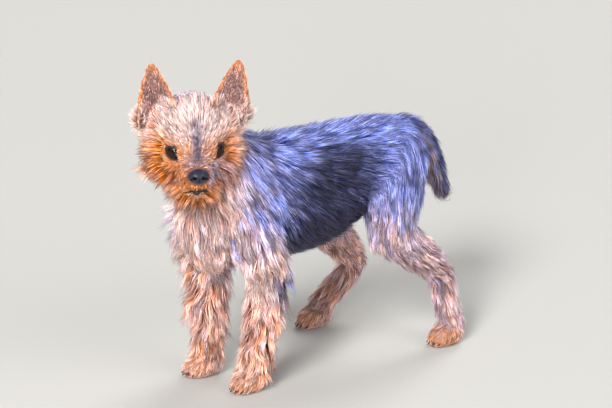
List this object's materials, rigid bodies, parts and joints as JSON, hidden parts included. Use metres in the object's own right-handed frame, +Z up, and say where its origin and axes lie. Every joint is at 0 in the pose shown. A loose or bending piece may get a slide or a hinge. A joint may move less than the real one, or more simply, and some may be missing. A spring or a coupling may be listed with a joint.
{
  "type": "yorkshire terrier",
  "caption": "Small silky-coated dog in a short clip, a still life-size model standing on all four feet with its head turned to the left.",
  "frame": {"origin": "on the floor, under the middle of the dog's bounding box", "axes": "+Z up; -Y the way the trunk faces; +X the dog's left"},
  "size_m": [0.1478, 0.3646, 0.3089],
  "materials": {
    "eye": "wet, glossy, near-black brown",
    "nose": "moist, finely pebbled",
    "tan_coat": "silky tan hair",
    "cream_coat": "silky cream and silver hair",
    "steel_coat": "silky steel-blue hair"
  },
  "bodies": {
    "root": {"eye_left": "eye", "eye_right": "eye", "nose": "nose", "ear_left": "tan_coat", "ear_right": "tan_coat", "head": "tan_coat", "neck": "cream_coat", "chest": "cream_coat", "ribs": "steel_coat", "loin": "steel_coat", "tail_root": "steel_coat", "tail_middle": "steel_coat", "tail_end": "steel_coat", "upper_arm_left": "cream_coat", "forearm_left": "tan_coat", "paw_front_left": "tan_coat", "upper_arm_right": "cream_coat", "forearm_right": "tan_coat", "paw_front_right": "tan_coat", "thigh_left": "steel_coat", "shank_left": "cream_coat", "hock_left": "cream_coat", "paw_hind_left": "tan_coat", "thigh_right": "steel_coat", "shank_right": "cream_coat", "hock_right": "cream_coat", "paw_hind_right": "tan_coat"}
  },
  "joints": []
}
